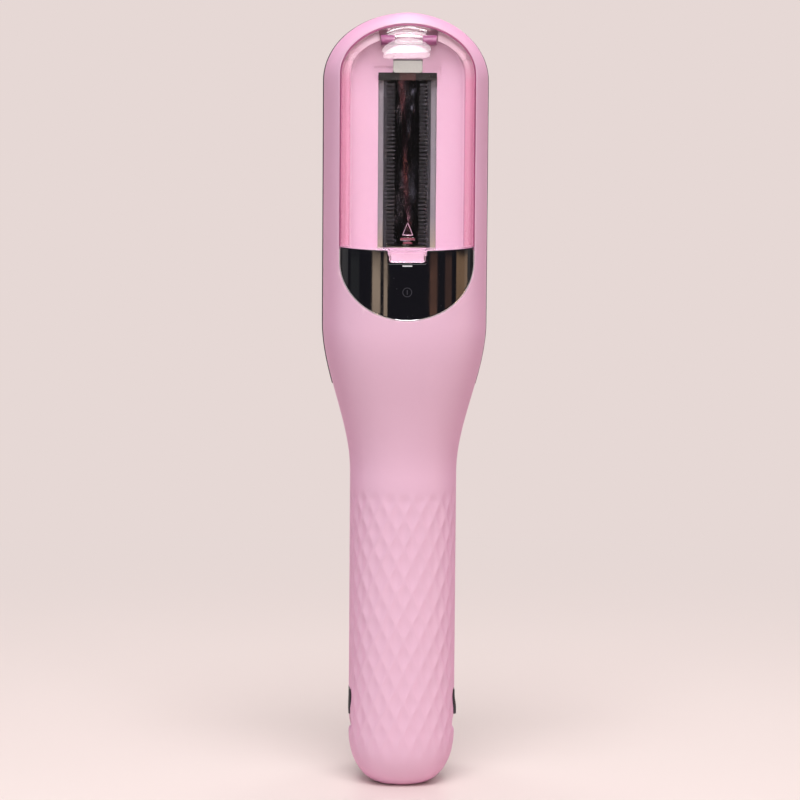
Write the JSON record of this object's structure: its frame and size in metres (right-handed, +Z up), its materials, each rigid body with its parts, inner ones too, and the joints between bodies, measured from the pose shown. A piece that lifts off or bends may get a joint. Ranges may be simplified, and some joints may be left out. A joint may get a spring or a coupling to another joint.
{
  "type": "split end hair trimmer",
  "caption": "Hand-held split end trimmer: a spring clamp squeezed by its handle holds hair against combs and a helical cutter drum under a clear trimmings cover.",
  "frame": {"origin": "middle of the flat base, on the plane just in front of the clamp's closing faces", "axes": "+Z up the handle to the head, -Y out of the front face with the cover and the power button, +X to the viewer's right"},
  "size_m": [0.0534, 0.0568, 0.2505],
  "materials": {
    "pink_shell": "glossy moulded pink",
    "pink_inner": "smooth moulded pink",
    "clear_cover": "clear moulded plastic",
    "black_gloss": "mirror gloss",
    "silver_rim": "bright",
    "dark_grey": "satin moulded",
    "comb_grey": "satin moulded",
    "white_plastic": "smooth",
    "clear_lens": "clear",
    "blade_steel": "ground",
    "steel": "plain",
    "bronze": "plain",
    "cell": "sleeved",
    "board": "solder mask",
    "switch_black": "moulded",
    "soft_pad": "soft",
    "white_silicone": "soft"
  },
  "bodies": {
    "body": {"front_housing": "pink_shell", "rear_housing": "pink_shell", "comb_plate": "dark_grey", "cutter_frame": "comb_grey", "chamber_liner": "pink_inner", "left_comb": "steel", "right_comb": "steel", "top_bush": "white_plastic", "lower_bush": "bronze", "motor": "steel", "motor_bracket": "dark_grey", "motor_screws": "steel", "battery": "cell", "battery_cradle": "dark_grey", "battery_contacts": "steel", "charging_socket": "steel", "charging_board": "board", "control_board": "board", "push_switch": "switch_black", "panel_rim": "silver_rim", "button_pads": "white_silicone", "hinge_pin": "steel", "return_spring": "steel", "housing_screws": "steel"},
    "clamp": {"clamp_arm": "pink_shell", "clamp_plate": "dark_grey", "left_grip_pad": "soft_pad", "right_grip_pad": "soft_pad"},
    "cutter": {"cutter_drum": "blade_steel", "drum_shaft": "steel", "drive_coupling": "white_plastic", "motor_shaft": "steel"},
    "button": {"power_button": "black_gloss", "indicator_lens": "clear_lens"},
    "cover": {"chamber_cover": "clear_cover"},
    "lock": {"handle_lock": "dark_grey"}
  },
  "joints": [
    {"name": "clamp_hinge", "type": "hinge", "parent": "body", "child": "clamp", "pos_m": [0, 0.007, 0.126], "axis": [-1, 0, 0], "range_deg": [0, 8], "stiffness_Nm_per_rad": 0.6, "springref_deg": -20.05, "deforming": ["return_spring"]},
    {"name": "cutter_spin", "type": "hinge", "parent": "body", "child": "cutter", "pos_m": [0, -0.0093, 0.2], "axis": [0, 0, 1], "continuous": true},
    {"name": "power_press", "type": "slide", "parent": "body", "child": "button", "axis": [0, 1, 0], "range_m": [0, 0.0006], "stiffness_N_per_m": 1200, "springref_m": -0.0006, "deforming": ["button_pads"]},
    {"name": "cover_tilt", "type": "hinge", "parent": "body", "child": "cover", "pos_m": [0, -0.0228, 0.2416], "axis": [-1, 0, 0], "range_deg": [0, 40]},
    {"name": "lock_slide", "type": "slide", "parent": "body", "child": "lock", "axis": [0, 0, -1], "range_m": [0, 0.0048]}
  ]
}
